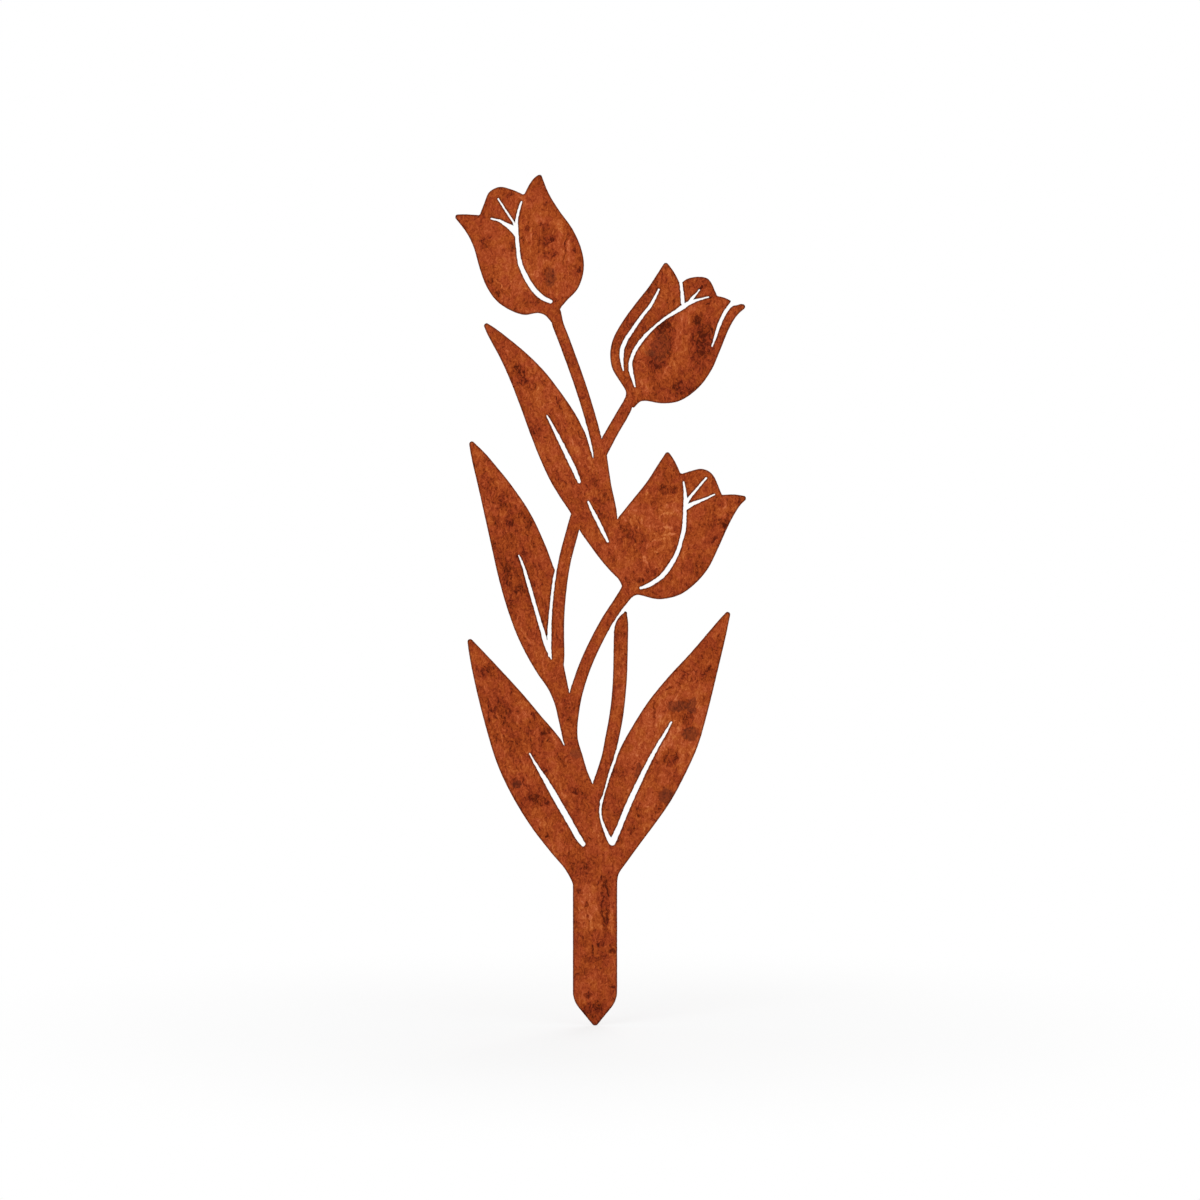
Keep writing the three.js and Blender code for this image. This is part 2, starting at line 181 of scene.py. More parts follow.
def buildStudio():
    scene = bpy.context.scene
    scene.view_settings.view_transform = "Standard"
    scene.world = bpy.data.worlds.new("studio")
    nodes = Nodes(scene.world)
    strength = studio["ambient"] + nodes.seenDirectly() * (1 - studio["ambient"])
    sky = nodes.node("ShaderNodeBackground", None, {"Color": (1, 1, 1, 1), "Strength": strength})
    nodes.node("ShaderNodeOutputWorld", None, {"Surface": sky})
    for name, (place, size, power) in studio["boxes"].items():
        lamp = bpy.data.lights.new(name, "AREA")
        lamp.size = size
        lamp.energy = power
        box = bpy.data.objects.new(name, lamp)
        box.location = place
        box.rotation_euler = (Vector(studio["aim"]) - Vector(place)).to_track_quat("-Z", "Y").to_euler()
        scene.collection.objects.link(box)
    print("studio lights", len(studio["boxes"]))


def floorFinish():
    material = bpy.data.materials.new("whiteFloor")
    nodes = Nodes(material)
    place = nodes.node("ShaderNodeTexCoord", output="Object")
    away = nodes.node("ShaderNodeVectorMath", {"operation": "LENGTH"}, {0: place * (1.0, 1.0, 0.0)}, "Value")
    fade = nodes.step(away, studio["clearFrom"], studio["clearTo"], studio["floorHold"], 1.0)
    white = nodes.node("ShaderNodeEmission", None, {"Color": (1, 1, 1, 1), "Strength": 1.0})
    matte = nodes.node("ShaderNodeBsdfDiffuse", None, {"Color": linear(*studio["floorColour"])})
    mixed = nodes.node("ShaderNodeMixShader", None, {0: fade * nodes.seenDirectly(), 1: matte, 2: white})
    nodes.node("ShaderNodeOutputMaterial", None, {"Surface": mixed})
    return material


def buildFloor():
    bm = bmesh.new()
    bmesh.ops.create_grid(bm, x_segments=1, y_segments=1, size=studio["floorSide"] / 2)
    bmesh.ops.translate(bm, verts=bm.verts[:], vec=(0, 0, cadLow.z))
    mesh = bpy.data.meshes.new("floor")
    bm.to_mesh(mesh)
    bm.free()
    floor = bpy.data.objects.new("floor", mesh)
    bpy.context.scene.collection.objects.link(floor)
    mesh.materials.append(floorFinish())
    print("floor at", round(cadLow.z, 4))


# Rust on both faces of the sheet, darker along the cut, where the darkening is partly dark oxide and partly
# painted shade. Lengths are millimetres. The tone runs from 0, dark, to 1, light
rust = {
    "ramp": [
        (0.0, (82, 27, 12)),
        (0.12, (109, 39, 17)),
        (0.35, (143, 57, 24)),
        (0.5, (157, 67, 29)),
        (0.65, (170, 77, 35)),
        (0.9, (187, 95, 50)),
        (1.0, (201, 113, 66)),
    ],
    "reddish": (1.0, 0.94, 1.08, 1.0),  # what the colour is multiplied by
    "yellowish": (1.0, 1.04, 0.88, 1.0),  # and by what in the yellower areas
    "hue": (8, 0.36, 0.64),  # size of these areas, and where they start and are full
    "backShift": 37,  # mm that the pattern moves for each mm through the sheet, so that the back differs
    "warp": (4.5, 4.4),  # size and strength of the wander that breaks up every shape
    "layers": [  # size of the grain, stretch along the stake, weight
        (45, 1.0, 0.2),
        (22, 1.0, 0.2),
        (11, 0.8, 0.2),
        (5.6, 0.7, 0.15),
        (2.4, 0.65, 0.2),
        (1.1, 0.6, 0.66),
        (0.65, 0.6, 0.66),
    ],
    "streaks": [  # size across, stretch, tone, and the size of the areas that show them
        (2.2, 0.16, 0.45, 26),
        (1.5, 0.3, -0.45, 21),
    ],
    "streakFrom": 0.46,  # how much of the sheet has them
    "streakTo": 0.6,
    "leafStreaks": [(2.4, 0.14, 0.36), (1.3, 0.2, -0.34)],  # the same along the leaves, all over them
    "leaves": [  # x, z, half width, half height, turn to the right
        (-33.0, 325.0, 26.0, 62.0, -27),
        (-60.0, 235.0, 20.0, 72.0, -17),
        (-52.0, 105.0, 28.0, 70.0, -27),
        (55.0, 100.0, 26.0, 75.0, 27),
    ],
    "blots": [  # size, stretch, where it starts and is full, tone
        (8.5, 1.0, 0.58, 0.66, -0.1),
        (3.6, 0.8, 0.64, 0.7, -0.09),
        (3.1, 0.4, 0.64, 0.7, 0.12),
    ],
    "backBlots": [  # the same, on the back only
        (15, 1.0, 0.53, 0.62, -0.26),
        (11, 0.8, 0.57, 0.66, 0.16),
        (5, 0.7, 0.6, 0.68, -0.2),
    ],
    "lines": (14, 0.01, -0.1),  # size of the loops, width and tone
    "fade": 1.12,  # how far out a spot reaches, in its own half widths
    "fadeTo": 0.36,  # and the share of that way in, where it is full
    "roughness": (0.72, 0.92),  # of the lightest and of the darkest rust
    "specular": 0.03,  # low, or the rounded rim turns grey
    "reliefBelow": 4,  # only grain smaller than this is felt as well as seen
    "bumpDistance": 0.00015,  # metres
    "bumpStrength": 0.5,
    "edgeOxideShadeReach": 0.0016,  # metres from the cut in which the colour darkens: partly dark oxide of the cut and partly painted shade of the edge
    "edgeOxideShadeColour": (46, 20, 9),
    "edgeOxideShadeGain": 2.0,  # the darkness is half on the edge itself, so this makes it whole
    "edgeOxideShadeSamples": 12,
}

# Spots and strokes of the front, each as x, z, half width, half height, turn to the right, tone
spots = {
    "topTulip": [
        (-45.0, 445.0, 34.0, 44.0, -20, 0.09),
        (-77.3, 450.2, 3.2, 4.2, 10, -0.24), (-73.5, 424.1, 2.5, 2.5, 0, -0.3),
        (-64.3, 419.9, 6.4, 6.4, 0, -0.12), (-68.5, 415.6, 1.8, 2.1, 0, -0.3),
        (-44.5, 410.0, 7.1, 4.6, -8, -0.24), (-29.4, 424.9, 1.8, 4.6, 0, -0.16),
        (-32.8, 427.6, 4.6, 6.4, 0, -0.2), (-30.6, 453.2, 1.7, 1.8, 0, -0.3),
        (-33.2, 442.7, 5.3, 3.9, 0, -0.24), (-27.6, 443.1, 1.8, 2.8, 0, -0.2),
        (-34.6, 478.4, 2.8, 1.8, -15, -0.24), (-35.4, 457.3, 7.1, 8.5, 0, -0.16),
        (-21.0, 446.0, 0.6, 12.0, 6, -0.36), (-18.1, 446.7, 1.4, 8.5, 6, 0.2),
        (-14.2, 446.0, 1.4, 2.3, 0, -0.3), (-11.4, 431.8, 1.6, 2.4, 0, -0.34),
        (-58.8, 486.2, 2.4, 1.6, 30, -0.2), (-58.6, 448.8, 1.7, 5.6, 0, -0.22),
        (-48.3, 461.5, 2.1, 2.4, 0, -0.32), (-50.9, 453.0, 1.4, 3.5, 0, -0.24),
        (-66.4, 421.3, 0.8, 4.9, -45, 0.26), (-61.5, 417.0, 0.7, 4.2, -35, 0.24),
        (-42.4, 402.2, 7.8, 1.4, 0, 0.18), (-37.5, 438.9, 4.9, 2.1, 0, 0.14),
        (-68.5, 450.9, 4.9, 8.5, 0, 0.12), (-28.3, 410.7, 3.2, 2.1, 0, -0.22),
        (-38.9, 470.0, 7.1, 4.9, 0, 0.1), (-24.8, 463.6, 3.5, 6.4, -25, 0.12),
    ],
    "rightTulip": [
        (46.2, 377.6, 8.8, 19.1, 12, -0.17), (48.6, 391.5, 6.0, 5.6, 0, -0.16),
        (42.4, 366.2, 7.8, 7.8, 0, -0.1), (57.0, 347.0, 19.0, 9.0, 0, -0.15),
        (74.5, 382.0, 9.5, 19.0, 5, -0.15), (71.2, 396.6, 4.2, 3.5, 0, -0.2),
        (76.1, 388.8, 4.6, 5.6, -20, -0.2), (74.7, 378.9, 3.9, 6.4, 10, -0.14),
        (72.6, 370.5, 4.9, 4.9, 0, -0.2), (74.4, 362.3, 5.3, 4.2, 0, -0.14),
        (81.8, 390.2, 1.3, 4.2, -30, -0.3), (62.0, 386.0, 5.6, 17.0, 12, 0.19),
        (59.2, 378.9, 0.9, 6.0, 43, 0.22), (54.3, 370.5, 0.9, 4.6, 9, 0.24),
        (51.1, 362.0, 0.9, 5.3, 30, 0.24), (56.0, 363.8, 0.8, 5.6, -8, 0.24),
        (37.3, 379.2, 3.2, 7.1, 35, 0.2), (59.9, 348.6, 5.6, 6.4, 0, -0.12),
        # The first stroke on the next line is painted shade of the narrow end of the small slot, which the
        # cut sheet leaves out
        (74.7, 419.4, 0.8, 2.7, 48, -0.9), (81.4, 412.8, 2.0, 0.8, 0, -0.6),
        (80.2, 408.3, 3.2, 0.6, -30, -0.3), (31.7, 375.4, 2.5, 4.2, 35, 0.14),
        (62.7, 403.4, 14.0, 6.0, 0, 0.1), (31.7, 350.0, 8.5, 4.9, 0, 0.1),
        (48.0, 400.0, 9.0, 16.0, 30, -0.06), (68.0, 417.0, 9.0, 7.0, 0, -0.06),
    ],
    "lowTulip": [
        (50.5, 277.0, 8.5, 4.2, 5, -0.24), (42.3, 265.3, 3.5, 7.1, 0, -0.18),
        (48.0, 262.5, 9.5, 7.0, 0, 0.12), (47.0, 244.0, 12.0, 9.0, 20, 0.1),
        (50.0, 260.0, 4.6, 1.2, -12, 0.3), (51.0, 250.4, 4.2, 1.1, -8, 0.34),
        (52.6, 245.2, 5.3, 1.1, -6, 0.34), (44.8, 241.3, 5.6, 1.1, -12, 0.34),
        (38.2, 238.2, 3.4, 1.2, -40, 0.3), (45.5, 235.0, 5.0, 1.1, -38, 0.32),
        (43.0, 245.6, 2.1, 1.4, 0, 0.2), (29.6, 252.6, 1.1, 4.6, -15, 0.28),
        (26.4, 251.9, 1.0, 4.2, -20, 0.24), (33.1, 254.0, 1.0, 3.5, -10, 0.24),
        (35.9, 226.5, 1.1, 5.6, -20, 0.32), (36.6, 274.8, 1.1, 2.8, 35, 0.24),
        (26.0, 242.0, 10.0, 14.0, -20, -0.1),
        (90.5, 251.9, 1.8, 2.3, -30, -0.42), (84.1, 241.7, 1.8, 3.1, 48, -0.36),
        (89.5, 261.8, 3.2, 5.6, 15, 0.16), (71.9, 223.7, 8.5, 8.5, 0, -0.14),
        (32.0, 212.7, 3.1, 2.1, 0, -0.3), (42.3, 219.2, 2.1, 3.0, 0, -0.26),
        (67.0, 230.0, 2.8, 2.1, 0, -0.18), (68.4, 271.7, 5.6, 4.2, 0, -0.06),
        (22.5, 247.0, 3.5, 6.4, -30, -0.14),
    ],
    "topLeaf": [
        (-53.0, 357.8, 5.3, 8.1, -18, -0.24), (-53.7, 353.5, 2.1, 2.5, 0, -0.14),
        (-25.7, 337.3, 1.3, 5.5, -26, -0.32), (-18.4, 333.8, 1.4, 3.9, -20, -0.22),
        (-36.1, 353.8, 2.4, 1.0, 10, -0.26), (-32.8, 338.5, 1.8, 1.6, 0, -0.24),
        (-38.9, 345.8, 5.6, 4.2, 0, 0.12), (-43.1, 317.5, 3.5, 6.4, -25, -0.1),
        (-19.1, 297.8, 2.1, 6.4, -28, -0.14), (-14.2, 308.4, 1.4, 6.4, -28, 0.14),
        (-0.8, 282.3, 4.2, 7.1, -10, -0.14), (-27.6, 287.2, 3.5, 4.2, 0, -0.12),
    ],
    "midLeaf": [
        (-58.6, 253.3, 2.1, 3.0, 0, -0.3), (-46.6, 253.3, 4.2, 5.6, 0, -0.12),
        (-67.8, 267.4, 6.0, 5.6, 0, -0.15), (-61.5, 218.0, 3.2, 10.6, -8, -0.15),
        (-46.6, 170.1, 1.1, 6.0, -40, 0.26), (-50.2, 176.4, 1.0, 4.2, -30, 0.18),
        (-50.2, 269.6, 6.4, 2.1, -40, 0.12), (-54.4, 237.8, 6.4, 8.5, 0, 0.08),
        (-76.3, 282.3, 4.9, 5.6, 0, -0.1), (-58.0, 230.0, 20.0, 70.0, -20, -0.09),
    ],
    "lowLeft": [
        (-66.4, 120.7, 7.4, 9.9, 0, -0.14), (-77.0, 147.5, 4.9, 5.6, -10, -0.18),
        (-50.9, 120.7, 6.0, 8.1, -15, 0.15), (-43.1, 117.8, 2.5, 3.0, 0, -0.26),
        (-34.2, 107.3, 4.6, 2.8, -35, -0.3), (-55.1, 68.7, 3.9, 2.8, 0, -0.42),
        (-39.6, 57.9, 8.1, 4.2, 20, -0.24), (-49.5, 55.7, 3.5, 4.9, 0, -0.16),
        (-37.5, 43.3, 2.8, 4.6, 0, 0.18), (-14.2, 64.2, 5.6, 2.8, 20, -0.2),
        (-31.8, 91.7, 2.1, 8.5, -15, 0.12), (-23.4, 75.5, 8.5, 6.4, -35, 0.06),
        (-32.5, 33.2, 3.5, 2.8, 0, -0.26), (-8.5, 64.9, 4.2, 3.5, 0, -0.12),
        (-62.0, 110.0, 22.0, 55.0, -30, -0.05),
    ],
    "lowRight": [
        (59.0, 116.0, 20.0, 26.0, 20, 0.12),
        (58.0, 124.0, 8.6, 4.4, -4, -0.34), (68.2, 124.2, 3.6, 6.4, 0, -0.36),
        (65.8, 114.6, 4.2, 6.4, 0, -0.32), (67.0, 104.8, 6.8, 5.4, 5, -0.42),
        (53.6, 88.6, 5.4, 8.4, 25, -0.26), (50.6, 60.9, 5.8, 6.2, 0, -0.22),
        (30.3, 78.5, 2.5, 5.6, 15, -0.3), (51.9, 136.5, 0.7, 3.5, 58, -0.5),
        (41.6, 115.0, 1.0, 12.0, 0, -0.26), (35.9, 114.3, 0.8, 8.5, 0, 0.1),
        (37.3, 124.9, 2.1, 8.5, 0, 0.1), (59.9, 82.6, 2.1, 9.9, 10, 0.12),
        (26.0, 38.1, 2.8, 4.9, 10, -0.2), (31.7, 50.8, 3.5, 5.6, 0, -0.12),
        (57.1, 77.6, 1.4, 5.6, 25, -0.2), (78.3, 94.6, 1.4, 7.1, 0, -0.16),
        (47.9, 103.7, 2.1, 5.6, 10, -0.14), (74.0, 142.5, 0.8, 4.2, 60, -0.14),
        (52.0, 100.0, 24.0, 60.0, 30, 0.11),
    ],
    "spike": [
        (-5.0, -18.3, 7.4, 19.0, 0, 0.26), (11.9, -26.8, 1.8, 9.2, 0, 0.24),
        (7.0, -14.7, 3.4, 23.0, 0, -0.24), (3.5, 1.4, 0.9, 4.2, 20, -0.3),
        (0.6, -93.0, 13.0, 10.0, 0, -0.24), (2.0, 8.0, 26.0, 9.0, 0, -0.08),
        (8.4, -5.6, 0.7, 5.6, -15, -0.3), (4.9, -16.2, 0.7, 6.4, 10, -0.3),
        (9.1, -25.4, 0.7, 6.4, -8, -0.26), (-11.1, -6.8, 2.3, 2.3, 0, -0.26),
        (-6.4, -16.2, 2.3, 2.1, 0, -0.36), (-5.0, -24.7, 0.7, 6.4, -10, -0.36),
        (4.2, -44.5, 3.1, 2.4, 0, -0.26), (11.9, -48.7, 2.1, 2.5, 0, -0.32),
        (-1.6, -48.0, 0.7, 5.3, 0, -0.32), (-5.0, -79.7, 3.2, 2.0, 0, -0.22),
        (-8.5, -40.9, 1.0, 4.2, 0, -0.26), (3.5, -53.6, 8.5, 1.7, -8, -0.16),
        (0.6, -88.9, 5.6, 3.5, 0, -0.12), (11.9, -76.2, 2.8, 8.5, 0, -0.1),
    ],
}

# Faint rings of the front, each as x, z, radius, half width of the line, tone
rings = [
    (-35.4, 457.3, 7.4, 1.3, -0.16),
    (31.7, 364.8, 2.9, 0.8, 0.26),
    (67.1, 145.8, 4.2, 0.9, -0.26),
    (60.5, 144.5, 5.0, 0.9, -0.22),
    (53.1, 88.6, 8.8, 1.1, 0.14),
    (-53.0, 357.8, 6.4, 1.2, -0.12),
    (44.0, 47.5, 4.6, 1.0, -0.18),
]

# Places where the rust has a greyish brown cast, each as x, z, half width, half height, turn, share
greyCast = {
    "colour": (112, 54, 33),
    "spots": [
        (-31.4, 426.9, 4.2, 7.8, 0, 0.35),
        (38.7, 373.3, 4.2, 2.8, 0, 0.4),
        (46.0, 377.0, 7.0, 12.0, 12, 0.25),
        (58.0, 124.0, 8.0, 4.2, -4, 0.4),
        (68.2, 124.2, 3.5, 6.4, 0, 0.4),
        (67.0, 104.8, 6.8, 5.2, 5, 0.4),
        (50.6, 60.9, 5.6, 6.0, 0, 0.5),
        (30.3, 78.5, 2.5, 5.6, 15, 0.3),
        (-13.5, 90.3, 4.2, 4.2, 0, 0.5),
        (-55.1, 68.7, 4.2, 3.2, 0, 0.3),
    ],
}


def spotMask(nodes, flat, spot, strength):
    x, z, halfWidth, halfHeight, turn = spot
    sockets = {
        "Vector": flat,
        "Location": (x, 0, z),
        "Rotation": (0, math.radians(turn), 0),
        "Scale": (halfWidth * rust["fade"], 1, halfHeight * rust["fade"]),
    }
    local = nodes.node("ShaderNodeMapping", {"vector_type": "TEXTURE"}, sockets)
    within = nodes.node("ShaderNodeTexGradient", {"gradient_type": "SPHERICAL"}, {"Vector": local}, "Fac")
    return nodes.step(within, 0.0, rust["fadeTo"], 0.0, strength)


def ringMask(nodes, flat, ring, strength):
    x, z, radius, halfWidth = ring
    local = flat - (x, 0.0, z)
    away = nodes.node("ShaderNodeVectorMath", {"operation": "LENGTH"}, {0: local}, "Value")
    off = nodes.node("ShaderNodeMath", {"operation": "ABSOLUTE"}, {0: away - radius})
    return nodes.step(off, 0.0, halfWidth, strength, 0.0)


def blots(nodes, spread, table):
    marks = 0.0
    for size, stretch, start, full, weight in table:
        patches = nodes.grain(spread * (1.0, 1.0, stretch), size, detail=1.0)
        marks = marks + nodes.step(patches, start, full, 0.0, weight)
    return marks


def rustTone(nodes, place, front):
    size, strength = rust["warp"]
    pushes = nodes.grain(place * (1.0, rust["backShift"], 1.0), size, detail=1.0, output="Color")
    warped = place + (pushes - (0.5, 0.5, 0.5)) * (strength, 0.0, strength)
    spread = warped * (1.0, rust["backShift"], 1.0)
    tone = fine = 0.5
    for size, stretch, weight in rust["layers"]:
        layer = (nodes.grain(spread * (1.0, 1.0, stretch), size) - 0.5) * weight
        tone = tone + layer
        if size < rust["reliefBelow"]:
            fine = fine + layer
    tone = tone + blots(nodes, spread, rust["blots"])
    tone = tone + blots(nodes, spread, rust["backBlots"]) * (1.0 - front)
    for size, stretch, weight, area in rust["streaks"]:
        streak = (nodes.grain(spread * (1.0, 1.0, stretch), size) - 0.5) * weight
        covered = nodes.step(nodes.grain(spread, area), rust["streakFrom"], rust["streakTo"])
        tone = tone + streak * covered
    flat = warped * (1.0, 0.0, 1.0)
    for leaf in rust["leaves"]:
        turned = {"Vector": spread, "Rotation": (0, math.radians(leaf[4]), 0)}
        along = nodes.node("ShaderNodeMapping", {"vector_type": "TEXTURE"}, turned)
        streak = 0.0
        for size, stretch, weight in rust["leafStreaks"]:
            streak = streak + (nodes.grain(along * (1.0, 1.0, stretch), size) - 0.5) * weight
        tone = tone + streak * spotMask(nodes, flat, leaf, 1.0)
    size, width, weight = rust["lines"]
    offMiddle = nodes.grain(spread, size, detail=1.0) - 0.5
    loops = nodes.node("ShaderNodeMath", {"operation": "ABSOLUTE"}, {0: offMiddle})
    tone = tone + nodes.step(loops, 0.0, width, weight, 0.0)
    marks = 0.0
    for group in spots.values():
        for *spot, weight in group:
            marks = marks + spotMask(nodes, flat, spot, weight)
    for *ring, weight in rings:
        marks = marks + ringMask(nodes, flat, ring, weight)
    grey = 0.0
    for *spot, share in greyCast["spots"]:
        grey = grey + spotMask(nodes, flat, spot, share)
    size, start, full = rust["hue"]
    hue = nodes.step(nodes.grain(spread, size, detail=1.0), start, full)
    return tone + marks * front, fine, grey * front, hue


def rustFinish():
    material = bpy.data.materials.new("rustFace")
    nodes = Nodes(material)
    place = nodes.placeInMillimetres()
    depth = nodes.node("ShaderNodeSeparateXYZ", None, {0: place}, "Y")
    front = nodes.node("ShaderNodeMath", {"operation": "LESS_THAN"}, {0: depth, 1: 0.0})
    tone, fine, grey, hue = rustTone(nodes, place, front)
    stops = [(position, linear(*colour)) for position, colour in rust["ramp"]]
    colour = nodes.node("ShaderNodeValToRGB", {"stops": stops}, {"Fac": tone}, "Color")
    colour = colour * nodes.mix(hue, rust["reddish"], rust["yellowish"])
    colour = nodes.mix(grey, colour, linear(*greyCast["colour"]))
    # Darkening towards the cut, found from occlusion inside the sheet: partly dark oxide of the cut and
    # partly painted shade of the edge
    within = nodes.node(
        "ShaderNodeAmbientOcclusion",
        {"inside": True, "samples": rust["edgeOxideShadeSamples"], "only_local": True},
        {"Distance": rust["edgeOxideShadeReach"]},
        "AO",
    )
    colour = nodes.mix((1.0 - within) * rust["edgeOxideShadeGain"], colour, linear(*rust["edgeOxideShadeColour"]))
    low, high = rust["roughness"]
    relief = {"Strength": rust["bumpStrength"], "Distance": rust["bumpDistance"], "Height": fine}
    shader = nodes.node(
        "ShaderNodeBsdfPrincipled",
        None,
        {
            "Base Color": colour,
            "Roughness": high - tone * (high - low),
            "Specular IOR Level": rust["specular"],
            "Normal": nodes.node("ShaderNodeBump", None, relief),
        },
    )
    nodes.node("ShaderNodeOutputMaterial", None, {"Surface": shader})
    print("rust nodes", len(nodes.tree.nodes))
    return material


cutEdge = {
    "colour": (112, 58, 36),
    "darkColour": (78, 40, 26),
    "grain": (0.625, 0.15, 3.0),  # size in millimetres, stretch through the sheet, and detail
    "bumpDistance": 0.0002,  # metres
    "bumpStrength": 0.5,
    "roughness": 0.8,
    "specular": 0.15,
}


def cutFinish():
    material = bpy.data.materials.new("cutEdge")
    nodes = Nodes(material)
    size, stretch, detail = cutEdge["grain"]
    marks = nodes.grain(nodes.placeInMillimetres() * (1.0, stretch, 1.0), size, detail)
    relief = {"Strength": cutEdge["bumpStrength"], "Distance": cutEdge["bumpDistance"], "Height": marks}
    shader = nodes.node(
        "ShaderNodeBsdfPrincipled",
        None,
        {
            "Base Color": nodes.mix(marks, linear(*cutEdge["darkColour"]), linear(*cutEdge["colour"])),
            "Roughness": cutEdge["roughness"],
            "Specular IOR Level": cutEdge["specular"],
            "Normal": nodes.node("ShaderNodeBump", None, relief),
        },
    )
    nodes.node("ShaderNodeOutputMaterial", None, {"Surface": shader})
    return material


# The sheet is cut again along its outline with the small nicks that a cutting flame leaves. Millimetres
sheet = {
    "name": "tulipSheet",
    "step": 0.85,  # longest edge along the outline
    "rimRadius": 0.3,
    "rimSteps": 2,
    "probe": 2.5,  # how far out from an edge the opposite edge of a slot is looked for
    "near": 2.2,  # and how near to that point it lies in a slot
    "room": 0.6,  # an edge moves less where a gap is under twice this, and not at all under 1.5 times it
    "slotNick": 0.28,  # how far the edge of a slot wanders to both sides
    "outerNick": 0.08,  # and the outer edge
    "nickLength": 1.7,
    "spread": 0.13,  # how far the rust stands out from the cut
    "weld": 0.03,
    "flatFrom": 0.999,  # a face is flat where its normal has at least this much of y
    "cutBelow": 0.2,  # and belongs to the cut where it has less than this
    "burrs": [  # where a slot or stem ends in another's side: x, z and reach of the part to smooth
        (98.7, 407.0, 3.2),
        (62.1, 263.8, 1.7),
        (66.6, 410.7, 1.5),
        (26.4, 335.6, 3.2),
        (-1.3, 299.6, 3.2),
        (3.5, 57.4, 3.0),
        (-21.3, 96.5, 2.5),
    ],
    "burrTurns": 24,
    "burrShare": 0.5,  # how far each turn of the smoothing goes
}


def emptyInside(bm):  # leaves the outline's edges alone
    inner = [edge for edge in bm.edges if not edge.is_boundary]
    bmesh.ops.delete(bm, geom=bm.faces[:], context="FACES_ONLY")
    bmesh.ops.delete(bm, geom=inner, context="EDGES")


def outlineOf(node):
    bm = bmesh.new()
    bm.from_mesh(node.data)
    bmesh.ops.scale(bm, vec=(1 / millimetre,) * 3, verts=bm.verts[:])
    bmesh.ops.remove_doubles(bm, verts=bm.verts[:], dist=sheet["weld"])
    others = [face for face in bm.faces if any(vert.co.y > 0 for vert in face.verts)]
    bmesh.ops.delete(bm, geom=others, context="FACES")
    emptyInside(bm)
    while True:
        long = [edge for edge in bm.edges if edge.calc_length() > sheet["step"]]
        if not long:
            return bm
        bmesh.ops.subdivide_edges(bm, edges=long, cuts=1)


def smoothBurrs(bm):
    for x, z, reach in sheet["burrs"]:
        near = [vert for vert in bm.verts if math.hypot(vert.co.x - x, vert.co.z - z) < reach]
        for turn in range(sheet["burrTurns"]):
            bmesh.ops.smooth_vert(
                bm, verts=near, factor=sheet["burrShare"], use_axis_x=True, use_axis_z=True
            )
    print("smoothed places", len(sheet["burrs"]))


def fill(bm, edges):  # a flat front inside the outline, all of it facing forward
    bmesh.ops.triangle_fill(bm, use_beauty=True, edges=edges, normal=(0, -1, 0))
    bmesh.ops.recalc_face_normals(bm, faces=bm.faces[:])
    if sum(face.normal.y * face.calc_area() for face in bm.faces) > 0:
        bmesh.ops.reverse_faces(bm, faces=bm.faces[:])


def inward(vert):  # the way into the metal, square to the outline
    front = Vector((0, -1, 0))
    way = Vector()
    for edge in vert.link_edges:
        if edge.is_boundary:
            loop = edge.link_loops[0]
            way += front.cross(loop.link_loop_next.vert.co - loop.vert.co).normalized()
    return way.normalized()


def nickOutline(bm):
    tree = kdtree.KDTree(len(bm.verts))
    for vert in bm.verts:
        tree.insert(vert.co, vert.index)
    tree.balance()
    moves = []
    for vert in bm.verts:
        way = inward(vert)
        gap = tree.find(vert.co - way * sheet["probe"])[2]
        room = tree.find(vert.co - way * sheet["room"])[2] / sheet["room"]
        wave = noise.noise(vert.co / sheet["nickLength"])
        nick = sheet["slotNick"] if gap < sheet["near"] else sheet["outerNick"]
        moves.append((vert, way * (nick * wave - sheet["spread"]) * max(2 * room - 1, 0)))
    low, high = cadLow / millimetre, cadHigh / millimetre
    for vert, move in moves:
        vert.co += move
        vert.co.x = min(max(vert.co.x, low.x), high.x)
        vert.co.z = min(max(vert.co.z, low.z), high.z)


def roundRim(bm):
    middle = bm.faces[:]
    quarter = math.pi / 2
    radius, steps = sheet["rimRadius"], sheet["rimSteps"]
    for step in range(steps):
        near, far = quarter * step / steps, quarter * (step + 1) / steps
        inset = radius * (math.cos(near) - math.cos(far))
        rise = radius * (math.sin(far) - math.sin(near))
        for face in middle:
            face.normal = (0, -1, 0)  # of slivers too, so that every edge moves into the metal
        bmesh.ops.inset_region(bm, faces=middle, thickness=inset, use_boundary=True)
        moved = list({vert for face in middle for vert in face.verts})
        bmesh.ops.translate(bm, verts=moved, vec=(0, -rise, 0))
    inside = set(middle)
    rim = [edge for edge in bm.edges if len(inside.intersection(edge.link_faces)) == 1]
    bmesh.ops.delete(bm, geom=middle, context="FACES")
    fill(bm, rim)
    print("rounded rim", radius, "mm")


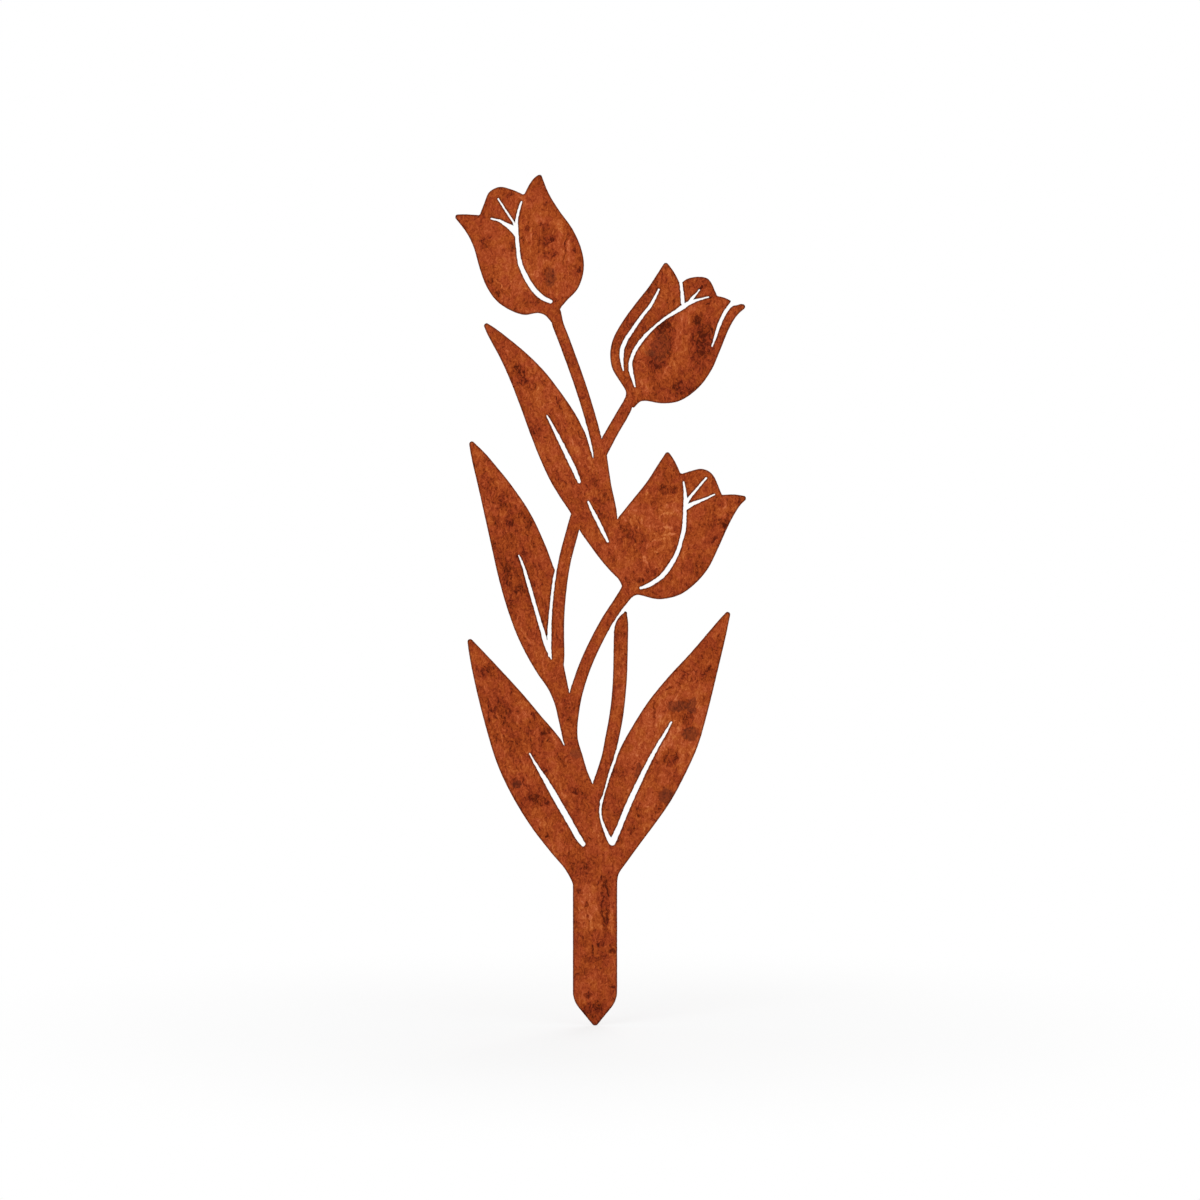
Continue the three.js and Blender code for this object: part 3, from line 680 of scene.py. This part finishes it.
def closeFolds(bm):  # both sides of the rim fold over where the metal is narrower than they are
    turns = 0
    while True:
        folded = [edge for edge in bm.edges if any(face.normal.y > 0 for face in edge.link_faces)]
        if not folded:
            break
        bmesh.ops.collapse(bm, edges=folded)
        bm.normal_update()
        turns += 1
    print("turns that closed folds", turns)


def numberByPlace(bm):  # extruding leaves its faces in another order in each run
    for rank, vert in enumerate(sorted(bm.verts, key=lambda vert: tuple(vert.co))):
        vert.index = rank
    for rank, face in enumerate(sorted(bm.faces, key=lambda face: tuple(face.calc_center_median()))):
        face.index = rank
    bm.verts.sort()
    bm.faces.sort()


def buildSheet():
    bm = outlineOf(plateNode)
    print("outline edges", len(bm.edges))
    smoothBurrs(bm)
    fill(bm, bm.edges[:])
    bm.verts.index_update()
    nickOutline(bm)
    bmesh.ops.translate(bm, verts=bm.verts[:], vec=(0, sheet["rimRadius"], 0))
    roundRim(bm)
    closeFolds(bm)
    wall = bmesh.ops.extrude_edge_only(bm, edges=[edge for edge in bm.edges if edge.is_boundary])
    made = [part for part in wall["geom"] if isinstance(part, bmesh.types.BMVert)]
    for vert in made:
        vert.co.y = 0
    everything = bm.verts[:] + bm.edges[:] + bm.faces[:]
    bmesh.ops.mirror(bm, geom=everything, axis="Y", merge_dist=sheet["weld"])
    bmesh.ops.recalc_face_normals(bm, faces=bm.faces[:])
    numberByPlace(bm)
    for face in bm.faces:
        lean = abs(face.normal.y)
        face.smooth = lean < sheet["flatFrom"]
        face.material_index = 1 if lean < sheet["cutBelow"] else 0
    bmesh.ops.scale(bm, vec=(millimetre,) * 3, verts=bm.verts[:])
    mesh = bpy.data.meshes.new(sheet["name"])
    bm.to_mesh(mesh)
    print("sheet faces", len(bm.faces))
    bm.free()
    piece = bpy.data.objects.new(sheet["name"], mesh)
    bpy.context.scene.collection.objects.link(piece)
    mesh.materials.append(rustFinish())
    mesh.materials.append(cutFinish())
    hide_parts("tulip_stake")
    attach(piece, "root")


buildCamera()
buildStudio()
buildFloor()
buildSheet()
